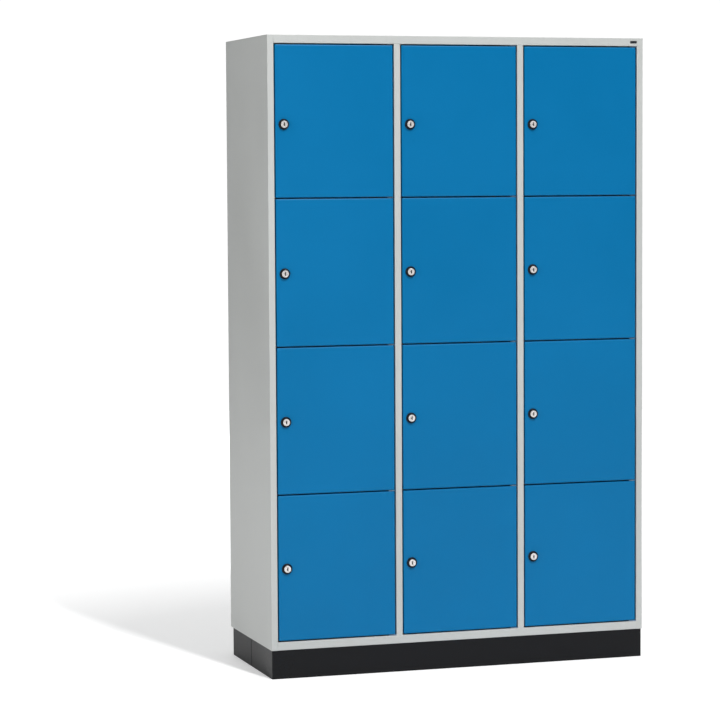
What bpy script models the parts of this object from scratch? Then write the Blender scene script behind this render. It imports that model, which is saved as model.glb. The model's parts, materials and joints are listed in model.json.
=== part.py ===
"""Coin operated locker: a folded sheet steel carcass on a plinth, with columns of hinged doors.

Each door carries a deposit lock: a black coin mechanism behind the door, whose collar stands out
of the door's face, and a nickel plug inside it that turns a flat cam behind the door frame.

Metres, +Z up. The front faces -Y. The origin is under the middle of the outer box, on the floor.
"""

import math

import bmesh
import bpy
from mathutils import Matrix, Vector

# ---------------------------------------------------------------- overall
WIDTH = 1.220
HEIGHT = 1.950
DEPTH = 0.480  # of the carcass, without the lock collars
COLUMNS = 3
ROWS = 4
BAY_PITCH = 0.449  # from one shelf to the next; the top bay takes what is left

# ---------------------------------------------------------------- carcass
SHEET = 0.001
BEND = 0.0015  # outer radius of a fold
BEND_STEPS = 2
STILE = 0.020  # face width of the stiles and mullions
RAIL = 0.025  # face height of the top and bottom rails
CHANNEL = 0.016  # depth to which stiles, mullions and rails are folded back
STILE_LIP = 0.010
SHELF_FLANGE = 0.020
SEAM = 0.0003  # between pieces that touch

# ---------------------------------------------------------------- plinth
PLINTH_HEIGHT = 0.088
PLINTH_SHEET = 0.0015
PLINTH_BEND = 0.003
PLINTH_SIDE_INSET = 0.002
PLINTH_FRONT_INSET = 0.0025
PLINTH_BACK_INSET = 0.020
PLINTH_FRONT_LENGTH = 0.2375  # of the front half's side walls
PLINTH_JOINT = 0.004  # open joint between the halves
PLINTH_TOP_FLANGE = 0.025
PLINTH_FOOT_FLANGE = 0.015
JOINER_LENGTH = 0.070
JOINER_SHEET = 0.002

# ---------------------------------------------------------------- doors
DOOR_GAP = 0.004  # all round a door
DOOR_DEPTH = 0.018
DOOR_LIP = 0.012
DOOR_BEND = 0.0028

# ---------------------------------------------------------------- hinges
PIN_RADIUS = 0.003
PIN_HOLE_CLEARANCE = 0.0003
PIN_FROM_EDGE = 0.010  # door's right edge to the pin's axis
PIN_FROM_FRONT = 0.006  # door's face to the pin's axis
PIN_ENTRY = 0.004  # how far a pin reaches into the door past its sheet
TAB_CLEARANCE = 0.0008  # between a hinge tab and the door above or below it
TAB_SETBACK = 0.0015  # behind the front plane
TAB_WIDTH = 0.024  # from the jamb to the tab's free edge
SWING_CLEARANCE = 0.0025  # behind the door's back corner as it swings

# ---------------------------------------------------------------- locks
LOCK_FROM_EDGE = 0.026  # door's left edge to the lock's axis
LOCK_HEIGHT = 0.220  # above the door's lower edge
COLLAR_RADIUS = 0.0165
COLLAR_FRONT_RADIUS = 0.0125
COLLAR_RIM = 0.0018  # its straight edge on the door, below the taper
COLLAR_PROUD = 0.0075
PLUG_PROUD = 0.009
PLUG_EDGE = 0.0008
PLUG_HEAD_RADIUS = 0.0105
PLUG_HEAD_LENGTH = 0.0045
BARREL_RADIUS = 0.008
NECK_WALL = 0.0022
RUNNING_CLEARANCE = 0.0004
KEYWAY_WIDTH = 0.003
KEYWAY_HEIGHT = 0.010
KEYWAY_DEPTH = 0.006
CAM_SHEET = 0.002
CAM_HUB_RADIUS = 0.009
CAM_TIP_RADIUS = 0.005
CAM_BITE = 0.007  # how far the turned cam reaches past the stile's or mullion's edge
CAM_CLEARANCE = 0.0008  # behind the door's lips and the frame's folds
CAM_NUT_RADIUS = 0.0065
CAM_NUT_LENGTH = 0.003

# ---------------------------------------------------------------- coin mechanism, from the lock's axis
CASE_LIP_CLEARANCE = 0.002  # from the door's lip
CASE_RIGHT = 0.042
CASE_ABOVE = 0.045
CASE_BELOW = 0.066
CASE_DEPTH = 0.045  # back of the case behind the door's face
CASE_EDGE = 0.002
CASE_SLOT_CLEARANCE = 0.0006  # either side of the cam
COIN_SLOT_WIDTH = 0.003
COIN_SLOT_HEIGHT = 0.027
COIN_SLOT_DEPTH = 0.015
COIN_CUP_WIDTH = 0.030
COIN_CUP_HEIGHT = 0.026
COIN_CUP_DEPTH = 0.017
CASE_BORDER = 0.007  # from the case's edges to the coin slot and the cup

# ---------------------------------------------------------------- blank badge
BADGE_WIDTH = 0.022
BADGE_HEIGHT = 0.007
BADGE_THICKNESS = 0.0008
BADGE_FROM_STILE = 0.012  # badge's middle from the right stile's edge

COLLAR_STEPS = 20  # sides of the collars, and of the holes that they pass through
PLUG_STEPS = 16  # sides of the plugs and their bores
PIN_STEPS = 12  # sides of the hinge pins and their holes
CUT = 0.01  # how far a cutter runs past what it cuts

# ---------------------------------------------------------------- places worked out from the sizes
FRONT = (PLUG_PROUD - DEPTH) / 2  # Y of the carcass's front plane
BACK = FRONT + DEPTH
OPENING = (WIDTH - (COLUMNS + 1) * STILE) / COLUMNS
SILL = PLINTH_HEIGHT + RAIL  # carcass floor and lowest bay's foot
LINTEL = HEIGHT - RAIL
UNDER_TOP = HEIGHT - SHEET - SEAM
PANEL_FACE = BACK - SHEET - SEAM - SHEET  # front face of the back panel

DOOR_WIDTH = OPENING - 2 * DOOR_GAP
SWING_BACK = PIN_FROM_FRONT + math.hypot(PIN_FROM_EDGE, DOOR_DEPTH - PIN_FROM_FRONT)
SHELF_FRONT = FRONT + max(SWING_BACK, CHANNEL + STILE_LIP / 2) + SWING_CLEARANCE
TAB_THICKNESS = DOOR_GAP - 2 * TAB_CLEARANCE
CAM_FRONT = max(DOOR_DEPTH, CHANNEL) + CAM_CLEARANCE  # behind the door's face
CAM_REACH = LOCK_FROM_EDGE + DOOR_GAP + CAM_BITE
PLUG_BACK = CAM_FRONT + CAM_SHEET + CAM_NUT_LENGTH
PLUG_FACE = -PLUG_PROUD
BORE_RADIUS = BARREL_RADIUS + RUNNING_CLEARANCE
NECK_RADIUS = BORE_RADIUS + NECK_WALL
CASE_LEFT = LOCK_FROM_EDGE - DOOR_LIP - CASE_LIP_CLEARANCE
CASE_FRONT = SHEET + SEAM
COIN_X = (CASE_RIGHT - CASE_LEFT) / 2


# ---------------------------------------------------------------- scene and materials
def clear_scene():
    for thing in list(bpy.data.objects):
        bpy.data.objects.remove(thing, do_unlink=True)


def new_collection(name):
    group = bpy.data.collections.new(name)
    bpy.context.scene.collection.children.link(group)
    return group


def new_material(name, colour, roughness, metallic):
    material = bpy.data.materials.new(name)
    material.use_nodes = True
    shader = material.node_tree.nodes["Principled BSDF"]
    shader.inputs["Base Color"].default_value = (*colour, 1.0)
    shader.inputs["Roughness"].default_value = roughness
    shader.inputs["Metallic"].default_value = metallic
    material.diffuse_color = (*colour, 1.0)
    return material


# ---------------------------------------------------------------- working with objects
def place(data, name, location=(0, 0, 0), parent=None, material=None):
    """A piece of the locker in its place; its mesh may be shared with the same piece elsewhere."""
    piece = bpy.data.objects.new(name, data)
    PARTS.objects.link(piece)
    piece.location = location
    piece.parent = parent
    if material and not data.materials:
        data.materials.append(material)
    return piece


def workpiece(data, name):
    """A cutter, or a piece that is still being made."""
    tool = bpy.data.objects.new(name, data)
    TOOLS.objects.link(tool)
    tool.hide_render = True
    tool.display_type = "WIRE"
    return tool


def boolean(piece, tool, operation):
    modifier = piece.modifiers.new(operation.title(), "BOOLEAN")
    modifier.operation = operation
    modifier.solver = "EXACT"
    modifier.object = tool


def thicken(piece, thickness):
    """Give a sheet its thickness, on the side that its faces turn away from."""
    modifier = piece.modifiers.new("Sheet", "SOLIDIFY")
    modifier.thickness = thickness
    modifier.offset = -1
    modifier.use_even_offset = True


def settled(piece):
    """The piece as a plain mesh, with its modifiers and its place worked in."""
    bpy.context.view_layer.update()
    graph = bpy.context.evaluated_depsgraph_get()
    mesh = bpy.data.meshes.new_from_object(piece.evaluated_get(graph))
    mesh.name = piece.name
    mesh.transform(piece.matrix_world)
    bpy.data.objects.remove(piece, do_unlink=True)
    return mesh


def machined(mesh, joined=(), cut=()):
    """A mesh with other meshes joined to it and then cut out of it, shaded smooth where it is round."""
    piece = workpiece(mesh, mesh.name)
    tools = [(other, "UNION") for other in joined] + [(other, "DIFFERENCE") for other in cut]
    objects = [workpiece(other, other.name) for other, _ in tools]
    for tool, (_, operation) in zip(objects, tools):
        boolean(piece, tool, operation)
    result = settled(piece)
    for tool in objects:
        bpy.data.objects.remove(tool, do_unlink=True)
    return shaded_round(result)


def shaded_round(mesh):
    mesh.shade_smooth()
    mesh.set_sharp_from_angle(angle=math.radians(35))
    return mesh


def mesh_from(shape, name):
    mesh = bpy.data.meshes.new(name)
    shape.to_mesh(mesh)
    shape.free()
    return mesh


# ---------------------------------------------------------------- shapes
def box_mesh(low, high, name, edge=0.0):
    """A box between two corners, with its edges chamfered if an edge size is given."""
    low, high = Vector(low), Vector(high)
    shape = bmesh.new()
    bmesh.ops.create_cube(shape, size=1.0)
    bmesh.ops.scale(shape, vec=high - low, verts=shape.verts)
    bmesh.ops.translate(shape, vec=(low + high) / 2, verts=shape.verts)
    if edge:
        bmesh.ops.bevel(shape, geom=shape.edges[:], offset=edge, segments=1, profile=0.5,
                        affect="EDGES")
    return mesh_from(shape, name)


def rod_mesh(radius, low, high, name):
    """An upright rod between two points, one above the other."""
    low, high = Vector(low), Vector(high)
    shape = bmesh.new()
    bmesh.ops.create_cone(shape, cap_ends=True, segments=PIN_STEPS, radius1=radius, radius2=radius,
                          depth=high.z - low.z)
    bmesh.ops.translate(shape, vec=(low + high) / 2, verts=shape.verts)
    return mesh_from(shape, name)


def turned_mesh(profile, steps, name):
    """A solid turned about the Y axis, from (radius, y) points that run from its front to its back."""
    shape = bmesh.new()
    corners = [shape.verts.new((radius, 0, -y)) for radius, y in profile]
    for pair in zip(corners, corners[1:]):
        shape.edges.new(pair)
    blank = workpiece(mesh_from(shape, name), name)
    screw = blank.modifiers.new("Turn", "SCREW")
    screw.axis = "Z"
    screw.angle = 2 * math.pi
    screw.steps = steps
    screw.render_steps = steps
    screw.use_merge_vertices = True
    screw.merge_threshold = 0.00001
    mesh = settled(blank)
    mesh.transform(Matrix.Rotation(math.pi / 2, 4, "X"))
    return mesh


def plate_mesh(outline, thickness, name):
    """A flat plate with its outline in the XY plane and the middle of its thickness at z = 0."""
    curve = bpy.data.curves.new(name, "CURVE")
    curve.dimensions = "2D"
    curve.fill_mode = "BOTH"
    curve.extrude = thickness / 2
    spline = curve.splines.new("POLY")
    spline.points.add(len(outline) - 1)
    for point, (x, y) in zip(spline.points, outline):
        point.co = (x, y, 0, 1)
    spline.use_cyclic_u = True
    flat = settled(workpiece(curve, name))
    shape = bmesh.new()
    shape.from_mesh(flat)
    bmesh.ops.remove_doubles(shape, verts=shape.verts, dist=0.00001)
    return mesh_from(shape, name)


def arc(centre, radius, start, end, steps):
    """Points on an arc in the plane, from one angle to another in degrees."""
    angles = [math.radians(start + (end - start) * step / steps) for step in range(steps + 1)]
    return [(centre[0] + radius * math.cos(a), centre[1] + radius * math.sin(a)) for a in angles]


def rounded_path(points, radius):
    """An open line of points with each inner corner turned into an arc."""
    points = [Vector(point) for point in points]
    path = [points[0]]
    for before, corner, after in zip(points, points[1:], points[2:]):
        into = (corner - before).normalized()
        out = (after - corner).normalized()
        turn = math.atan2(into.x * out.y - into.y * out.x, into.dot(out))
        start = corner - into * radius * math.tan(abs(turn) / 2)
        centre = start + Vector((-into.y, into.x)) * math.copysign(radius, turn)
        for step in range(BEND_STEPS + 1):
            path.append(centre + Matrix.Rotation(turn * step / BEND_STEPS, 2) @ (start - centre))
    path.append(points[-1])
    return path


def folded_sheet(name, points, axis, low, high):
    """A steel sheet folded along a line of points and run along an axis from low to high.

    The outside is on the right of the line. The points are (x, y) for axis Z and (y, z) for axis X.
    """
    along = {"X": Vector((1, 0, 0)), "Z": Vector((0, 0, 1))}[axis]
    shape = bmesh.new()
    corners = []
    for u, v in rounded_path(points, BEND):
        corners.append(shape.verts.new((u, v, low) if axis == "Z" else (low, u, v)))
    outward = (corners[1].co - corners[0].co).cross(along)
    line = [shape.edges.new(pair) for pair in zip(corners, corners[1:])]
    made = bmesh.ops.extrude_edge_only(shape, edges=line)["geom"]
    moved = [item for item in made if isinstance(item, bmesh.types.BMVert)]
    bmesh.ops.translate(shape, vec=along * (high - low), verts=moved)
    bmesh.ops.recalc_face_normals(shape, faces=shape.faces)
    if line[0].link_faces[0].normal.dot(outward) < 0:
        bmesh.ops.reverse_faces(shape, faces=shape.faces)
    piece = place(shaded_round(mesh_from(shape, name)), name, material=PAINT["grey"])
    thicken(piece, SHEET)
    return piece


def tray_mesh(width, height, depth, bend, lip, name):
    """A sheet face on y = 0 with its edges folded back to y = depth, and then in by a lip."""
    shape = bmesh.new()
    bmesh.ops.create_cube(shape, size=1.0)
    bmesh.ops.scale(shape, vec=(width, depth, height), verts=shape.verts)
    bmesh.ops.translate(shape, vec=(0, depth / 2, 0), verts=shape.verts)
    open_side = [face for face in shape.faces if face.normal.y > 0.5]
    bmesh.ops.delete(shape, geom=open_side, context="FACES_ONLY")
    folds = [edge for edge in shape.edges if not edge.is_boundary]
    bmesh.ops.bevel(shape, geom=folds, offset=bend, segments=BEND_STEPS, profile=0.5,
                    affect="EDGES")
    if lip:
        rim = [edge for edge in shape.edges if edge.is_boundary]
        made = bmesh.ops.extrude_edge_only(shape, edges=rim)["geom"]
        for corner in [item for item in made if isinstance(item, bmesh.types.BMVert)]:
            corner.co.x -= math.copysign(lip, corner.co.x)
            corner.co.z -= math.copysign(lip, corner.co.z)
    bmesh.ops.recalc_face_normals(shape, faces=shape.faces)
    front = min(shape.faces, key=lambda face: face.calc_center_median().y)
    if front.normal.y > 0:
        bmesh.ops.reverse_faces(shape, faces=shape.faces)
    tray = workpiece(mesh_from(shape, name), name)
    thicken(tray, SHEET)
    return settled(tray)


# ---------------------------------------------------------------- places that repeat
def jamb_left(column):
    """X of a column's left jamb, counted from 0 at the left."""
    return -WIDTH / 2 + STILE + column * (OPENING + STILE)


def bay_foot(row):
    """Z where a bay starts, counted from 0 at the bottom; the last one is the lintel."""
    return LINTEL if row == ROWS else SILL + row * BAY_PITCH


def bay_walls(column):
    """X of the faces of the walls at the left and right of a column's bays."""
    left = -WIDTH / 2 + SHEET if column == 0 else jamb_left(column) - (STILE - SHEET) / 2
    right = WIDTH / 2 - SHEET if column == COLUMNS - 1 else jamb_left(column + 1) - (STILE + SHEET) / 2
    return left, right


def door_span(row):
    """Z of a door's lower and upper edge."""
    below = DOOR_GAP if row == 0 else DOOR_GAP / 2
    above = DOOR_GAP if row == ROWS - 1 else DOOR_GAP / 2
    return bay_foot(row) + below, bay_foot(row + 1) - above


# ---------------------------------------------------------------- carcass
def build_side_panels():
    stile = STILE - WIDTH / 2
    lip = stile - STILE_LIP
    left = [(stile, BACK), (-WIDTH / 2, BACK), (-WIDTH / 2, FRONT), (stile, FRONT),
            (stile, FRONT + CHANNEL), (lip, FRONT + CHANNEL)]
    right = [(-x, y) for x, y in reversed(left)]
    folded_sheet("side_panel_left", left, "Z", PLINTH_HEIGHT, UNDER_TOP)
    folded_sheet("side_panel_right", right, "Z", PLINTH_HEIGHT, UNDER_TOP)


def rail_ends_cut(panel, low_y, high_y, high_z):
    """Cut a panel's rail back to the stiles at both ends."""
    for side, end in (("left", -1), ("right", 1)):
        inner = end * (WIDTH / 2 - STILE - SEAM)
        outer = end * (WIDTH / 2 + CUT)
        low = (min(inner, outer), low_y, -CUT)
        high = (max(inner, outer), high_y, high_z)
        name = f"{panel.name}_{side}_notch_{'front' if low_y < FRONT else 'back'}"
        boolean(panel, workpiece(box_mesh(low, high, name), name), "DIFFERENCE")


def build_top_panel():
    profile = [(BACK, LINTEL), (BACK, HEIGHT), (FRONT, HEIGHT), (FRONT, LINTEL),
               (FRONT + CHANNEL, LINTEL)]
    panel = folded_sheet("top_panel", profile, "X", -WIDTH / 2, WIDTH / 2)
    rail_ends_cut(panel, FRONT - CUT, BACK + CUT, UNDER_TOP)


def build_bottom_panel():
    half = WIDTH / 2 - SHEET - SEAM
    profile = [(BACK, PLINTH_HEIGHT), (BACK, SILL), (FRONT, SILL), (FRONT, PLINTH_HEIGHT),
               (FRONT + CHANNEL, PLINTH_HEIGHT)]
    panel = folded_sheet("bottom_panel", profile, "X", -half, half)
    rail_ends_cut(panel, FRONT - CUT, FRONT + CHANNEL + SEAM, SILL + CUT)
    rail_ends_cut(panel, BACK - SHEET - SEAM, BACK + CUT, SILL + CUT)


def build_back_panel():
    half = WIDTH / 2 - SHEET - SEAM
    low = (-half, PANEL_FACE, SILL + SEAM)
    high = (half, PANEL_FACE + SHEET, UNDER_TOP)
    place(box_mesh(low, high, "back_panel"), "back_panel", material=PAINT["grey"])


def build_partitions():
    """Each is one sheet: a mullion folded at its front edge, and the wall behind it."""
    half = STILE / 2
    for column in range(1, COLUMNS):
        middle = jamb_left(column) - half
        path = [(middle - half, FRONT + CHANNEL), (middle - half, FRONT), (middle + half, FRONT),
                (middle + half, FRONT + CHANNEL), (middle + SHEET / 2, FRONT + CHANNEL),
                (middle + SHEET / 2, PANEL_FACE - SEAM)]
        name = f"partition_{column}"
        wall = folded_sheet(name, path, "Z", SILL + SEAM, UNDER_TOP)
        low = (middle - STILE, FRONT - CUT, LINTEL - SEAM)
        high = (middle + STILE, FRONT + CHANNEL + SEAM, HEIGHT + CUT)
        boolean(wall, workpiece(box_mesh(low, high, f"{name}_notch"), f"{name}_notch"), "DIFFERENCE")


def build_shelves():
    back = PANEL_FACE - SEAM
    for column in range(COLUMNS):
        left, right = bay_walls(column)
        name = f"shelf_c{column + 1}"
        mesh = tray_mesh(right - left - 2 * SEAM, back - SHELF_FRONT, SHELF_FLANGE, BEND, 0, name)
        mesh.transform(Matrix.Rotation(-math.pi / 2, 4, "X"))
        shaded_round(mesh)
        for row in range(1, ROWS):
            middle = ((left + right) / 2, (SHELF_FRONT + back) / 2, bay_foot(row))
            place(mesh, f"{name}_r{row}", middle, material=PAINT["grey"])


# ---------------------------------------------------------------- plinth
def plinth_half_mesh(width, length, name):
    """A U of sheet in plan, closed at y = 0 and open at y = length, flanged in at top and bottom."""
    height = PLINTH_HEIGHT - SEAM
    shape = bmesh.new()
    bmesh.ops.create_cube(shape, size=1.0)
    bmesh.ops.scale(shape, vec=(width, length, height), verts=shape.verts)
    bmesh.ops.translate(shape, vec=(0, length / 2, height / 2), verts=shape.verts)
    open_sides = [face for face in shape.faces if face.normal.y > 0.5 or abs(face.normal.z) > 0.5]
    bmesh.ops.delete(shape, geom=open_sides, context="FACES")
    folds = [edge for edge in shape.edges if not edge.is_boundary]
    bmesh.ops.bevel(shape, geom=folds, offset=PLINTH_BEND, segments=BEND_STEPS, profile=0.5,
                    affect="EDGES")
    for level, flange in ((0, PLINTH_FOOT_FLANGE), (height, PLINTH_TOP_FLANGE)):
        rim = [edge for edge in shape.edges
               if all(abs(corner.co.z - level) < SEAM for corner in edge.verts)]
        made = bmesh.ops.extrude_edge_only(shape, edges=rim)["geom"]
        for corner in [item for item in made if isinstance(item, bmesh.types.BMVert)]:
            corner.co.x -= math.copysign(flange, corner.co.x)
            if corner.co.y < length - SEAM:
                corner.co.y += flange
    bmesh.ops.recalc_face_normals(shape, faces=shape.faces)
    front = min(shape.faces, key=lambda face: face.calc_center_median().y)
    if front.normal.y > 0:
        bmesh.ops.reverse_faces(shape, faces=shape.faces)
    return shaded_round(mesh_from(shape, name))


def build_plinth():
    width = WIDTH - 2 * PLINTH_SIDE_INSET
    face = FRONT + PLINTH_FRONT_INSET
    joint = face + PLINTH_FRONT_LENGTH
    rear = BACK - PLINTH_BACK_INSET
    mesh = plinth_half_mesh(width, PLINTH_FRONT_LENGTH, "plinth_front")
    thicken(place(mesh, "plinth_front", (0, face, 0), material=PAINT["charcoal"]), PLINTH_SHEET)
    mesh = plinth_half_mesh(width, rear - joint - PLINTH_JOINT, "plinth_rear")
    mesh.transform(Matrix.Rotation(math.pi, 4, "Z"))
    thicken(place(mesh, "plinth_rear", (0, rear, 0), material=PAINT["charcoal"]), PLINTH_SHEET)
    low = Vector((0, -JOINER_LENGTH / 2, PLINTH_SHEET + SEAM))
    high = Vector((JOINER_SHEET, JOINER_LENGTH / 2, PLINTH_HEIGHT - PLINTH_SHEET - 2 * SEAM))
    joiner = box_mesh(low, high, "plinth_joiner", JOINER_SHEET / 4)
    wall = width / 2 - PLINTH_SHEET - SEAM
    middle = joint + PLINTH_JOINT / 2
    place(joiner, "plinth_joiner_left", (-wall, middle, 0), material=PAINT["zinc"])
    place(joiner, "plinth_joiner_right", (wall - JOINER_SHEET, middle, 0), material=PAINT["zinc"])


# ---------------------------------------------------------------- hinges
def hinge_post_mesh():
    """A bar behind the jamb, with a tab and a pin above, below and between the doors.

    x = 0 is the jamb's edge and y = 0 the front plane.
    """
    bar_front = CHANNEL + SEAM
    bar_back = SHELF_FRONT - FRONT - SEAM
    bar_side = (STILE - SHEET) / 2 - SEAM
    bar = box_mesh((0, bar_front, SILL + SEAM), (bar_side, bar_back, LINTEL - SEAM), "hinge_post")
    root = (bar_side / 2, bar_front + SEAM, bar_back - SEAM)
    outline = [(-TAB_WIDTH, TAB_SETBACK), (-2 * SEAM, TAB_SETBACK), (-2 * SEAM, root[1]),
               (root[0], root[1]), (root[0], root[2]), (-TAB_WIDTH / 2, root[2]),
               (-TAB_WIDTH, (TAB_SETBACK + root[2]) / 2)]
    pin_x = -DOOR_GAP - PIN_FROM_EDGE
    pin_half = TAB_THICKNESS / 2 + TAB_CLEARANCE + SHEET + PIN_ENTRY
    pieces = []
    for row in range(ROWS + 1):
        end = {0: DOOR_GAP / 2, ROWS: -DOOR_GAP / 2}.get(row, 0)
        level = bay_foot(row) + end
        tab = plate_mesh(outline, TAB_THICKNESS, f"hinge_tab_{row}")
        tab.transform(Matrix.Translation((0, 0, level)))
        low = level if row == 0 else level - pin_half
        high = level if row == ROWS else level + pin_half
        pin = rod_mesh(PIN_RADIUS, (pin_x, PIN_FROM_FRONT, low), (pin_x, PIN_FROM_FRONT, high),
                       f"hinge_pin_{row}")
        pieces += [tab, pin]
    return machined(bar, joined=pieces)


def build_hinge_posts():
    mesh = hinge_post_mesh()
    for column in range(COLUMNS):
        jamb = jamb_left(column) + OPENING
        place(mesh, f"hinge_post_c{column + 1}", (jamb, FRONT, 0), material=PAINT["zinc"])


# ---------------------------------------------------------------- doors and locks
def door_mesh(row):
    """A door with the hinge pins' axis at x = 0, y = 0 and its lower edge at z = 0."""
    low, high = door_span(row)
    height = high - low
    tray = tray_mesh(DOOR_WIDTH, height, DOOR_DEPTH, DOOR_BEND, DOOR_LIP, f"door_r{row + 1}")
    tray.transform(Matrix.Translation((PIN_FROM_EDGE - DOOR_WIDTH / 2, -PIN_FROM_FRONT, height / 2)))
    pin_hole = rod_mesh(PIN_RADIUS + PIN_HOLE_CLEARANCE, (0, 0, -CUT), (0, 0, height + CUT), "pin_hole")
    lock_hole = turned_mesh([(0, -CUT), (NECK_RADIUS + SEAM, -CUT), (NECK_RADIUS + SEAM, CUT), (0, CUT)],
                            COLLAR_STEPS, "lock_hole")
    lock_hole.transform(Matrix.Translation(lock_place()))
    return machined(tray, cut=[pin_hole, lock_hole])


def lock_place():
    """The lock's axis on the door's face, from the door's origin."""
    return (PIN_FROM_EDGE - DOOR_WIDTH + LOCK_FROM_EDGE, -PIN_FROM_FRONT, LOCK_HEIGHT)


def coin_lock_mesh():
    """The coin mechanism's case and its collar, from the lock's axis on the door's face."""
    case = box_mesh((-CASE_LEFT, CASE_FRONT, -CASE_BELOW), (CASE_RIGHT, CASE_DEPTH, CASE_ABOVE),
                    "coin_lock", CASE_EDGE)
    collar = turned_mesh(
        [(0, -COLLAR_PROUD), (COLLAR_FRONT_RADIUS, -COLLAR_PROUD), (COLLAR_RADIUS, -COLLAR_RIM),
         (COLLAR_RADIUS, -SEAM), (NECK_RADIUS, -SEAM), (NECK_RADIUS, 2 * CASE_FRONT),
         (0, 2 * CASE_FRONT)],
        COLLAR_STEPS, "collar")
    head = PLUG_HEAD_RADIUS + RUNNING_CLEARANCE
    head_end = PLUG_FACE + PLUG_HEAD_LENGTH + RUNNING_CLEARANCE
    bore_end = PLUG_BACK + RUNNING_CLEARANCE
    bore = turned_mesh([(0, -COLLAR_PROUD - CUT), (head, -COLLAR_PROUD - CUT), (head, head_end),
                        (BORE_RADIUS, head_end), (BORE_RADIUS, bore_end), (0, bore_end)],
                       PLUG_STEPS, "bore")
    hub = CAM_HUB_RADIUS + CASE_SLOT_CLEARANCE
    cam_slot = box_mesh((-CASE_LEFT - CUT, CAM_FRONT - CASE_SLOT_CLEARANCE, -CAM_REACH - CASE_BORDER / 2),
                        (hub, CAM_FRONT + CAM_SHEET + CASE_SLOT_CLEARANCE, hub), "cam_slot")
    slot_top = CASE_ABOVE - CASE_BORDER
    coin_slot = box_mesh((COIN_X - COIN_SLOT_WIDTH / 2, CASE_DEPTH - COIN_SLOT_DEPTH,
                          slot_top - COIN_SLOT_HEIGHT),
                         (COIN_X + COIN_SLOT_WIDTH / 2, CASE_DEPTH + CUT, slot_top), "coin_slot")
    cup_foot = CASE_BORDER - CASE_BELOW
    coin_cup = box_mesh((COIN_X - COIN_CUP_WIDTH / 2, CASE_DEPTH - COIN_CUP_DEPTH, cup_foot),
                        (COIN_X + COIN_CUP_WIDTH / 2, CASE_DEPTH + CUT, cup_foot + COIN_CUP_HEIGHT),
                        "coin_cup", CASE_EDGE)
    return machined(case, joined=[collar], cut=[bore, cam_slot, coin_slot, coin_cup])


def lock_plug_mesh():
    """The plug with its cam, which hangs down when the door is free, from the lock's axis."""
    head_end = PLUG_FACE + PLUG_HEAD_LENGTH
    cam_middle = CAM_FRONT + CAM_SHEET / 2
    plug = turned_mesh(
        [(0, PLUG_FACE), (PLUG_HEAD_RADIUS - PLUG_EDGE, PLUG_FACE),
         (PLUG_HEAD_RADIUS, PLUG_FACE + PLUG_EDGE), (PLUG_HEAD_RADIUS, head_end),
         (BARREL_RADIUS, head_end), (BARREL_RADIUS, cam_middle), (CAM_NUT_RADIUS, cam_middle),
         (CAM_NUT_RADIUS, PLUG_BACK), (0, PLUG_BACK)],
        PLUG_STEPS, "lock_plug")
    tip = (0, CAM_TIP_RADIUS - CAM_REACH)
    outline = (arc((0, 0), CAM_HUB_RADIUS, 0, 180, PLUG_STEPS // 2)
               + arc(tip, CAM_TIP_RADIUS, 180, 360, PLUG_STEPS // 2))
    cam = plate_mesh(outline, CAM_SHEET, "cam")
    cam.transform(Matrix.Translation((0, cam_middle, 0)) @ Matrix.Rotation(math.pi / 2, 4, "X"))
    keyway = box_mesh((-KEYWAY_WIDTH / 2, PLUG_FACE - CUT, -KEYWAY_HEIGHT / 2),
                      (KEYWAY_WIDTH / 2, PLUG_FACE + KEYWAY_DEPTH, KEYWAY_HEIGHT / 2), "keyway")
    return machined(plug, joined=[cam], cut=[keyway])


def build_doors():
    coin_lock = coin_lock_mesh()
    lock_plug = lock_plug_mesh()
    pin_y = FRONT + PIN_FROM_FRONT
    for row in range(ROWS):
        mesh = door_mesh(row)
        foot = door_span(row)[0]
        for column in range(COLUMNS):
            pin_x = jamb_left(column) + OPENING - DOOR_GAP - PIN_FROM_EDGE
            where = f"c{column + 1}_r{row + 1}"
            door = place(mesh, f"door_{where}", (pin_x, pin_y, foot), material=PAINT["blue"])
            place(coin_lock, f"coin_lock_{where}", lock_place(), door, PAINT["black"])
            place(lock_plug, f"lock_plug_{where}", lock_place(), door, PAINT["nickel"])


# ---------------------------------------------------------------- badge
def build_badge():
    """A blank plate on the top rail, at its right end."""
    low = (-BADGE_WIDTH / 2, -BADGE_THICKNESS - SEAM, -BADGE_HEIGHT / 2)
    high = (BADGE_WIDTH / 2, -SEAM, BADGE_HEIGHT / 2)
    mesh = box_mesh(low, high, "badge", BADGE_THICKNESS / 3)
    middle = (WIDTH / 2 - STILE - BADGE_FROM_STILE, FRONT, HEIGHT - RAIL / 2)
    place(mesh, "badge", middle, material=PAINT["charcoal"])


clear_scene()
PARTS = new_collection("coin_operated_locker")
TOOLS = new_collection("cutters")
PAINT = {
    "grey": new_material("carcass_grey", (0.56, 0.57, 0.56), 0.45, 0.0),
    "blue": new_material("door_blue", (0.012, 0.165, 0.420), 0.45, 0.0),
    "charcoal": new_material("plinth_charcoal", (0.016, 0.017, 0.020), 0.50, 0.0),
    "zinc": new_material("hinge_zinc", (0.48, 0.56, 0.66), 0.35, 1.0),
    "black": new_material("lock_black", (0.010, 0.010, 0.014), 0.40, 0.0),
    "nickel": new_material("lock_nickel", (0.80, 0.79, 0.77), 0.22, 1.0),
}
build_side_panels()
build_top_panel()
build_bottom_panel()
build_back_panel()
build_partitions()
build_shelves()
build_plinth()
build_hinge_posts()
build_doors()
build_badge()
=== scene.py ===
"""Looks of the coin operated locker: powder coat, plated steel, nickel and moulded plastic on the
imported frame, with the small pieces that the frame leaves out. Metres, on the frame's own axes."""
import json
import math

import bmesh
import bpy
from mathutils import Matrix, Vector


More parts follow.
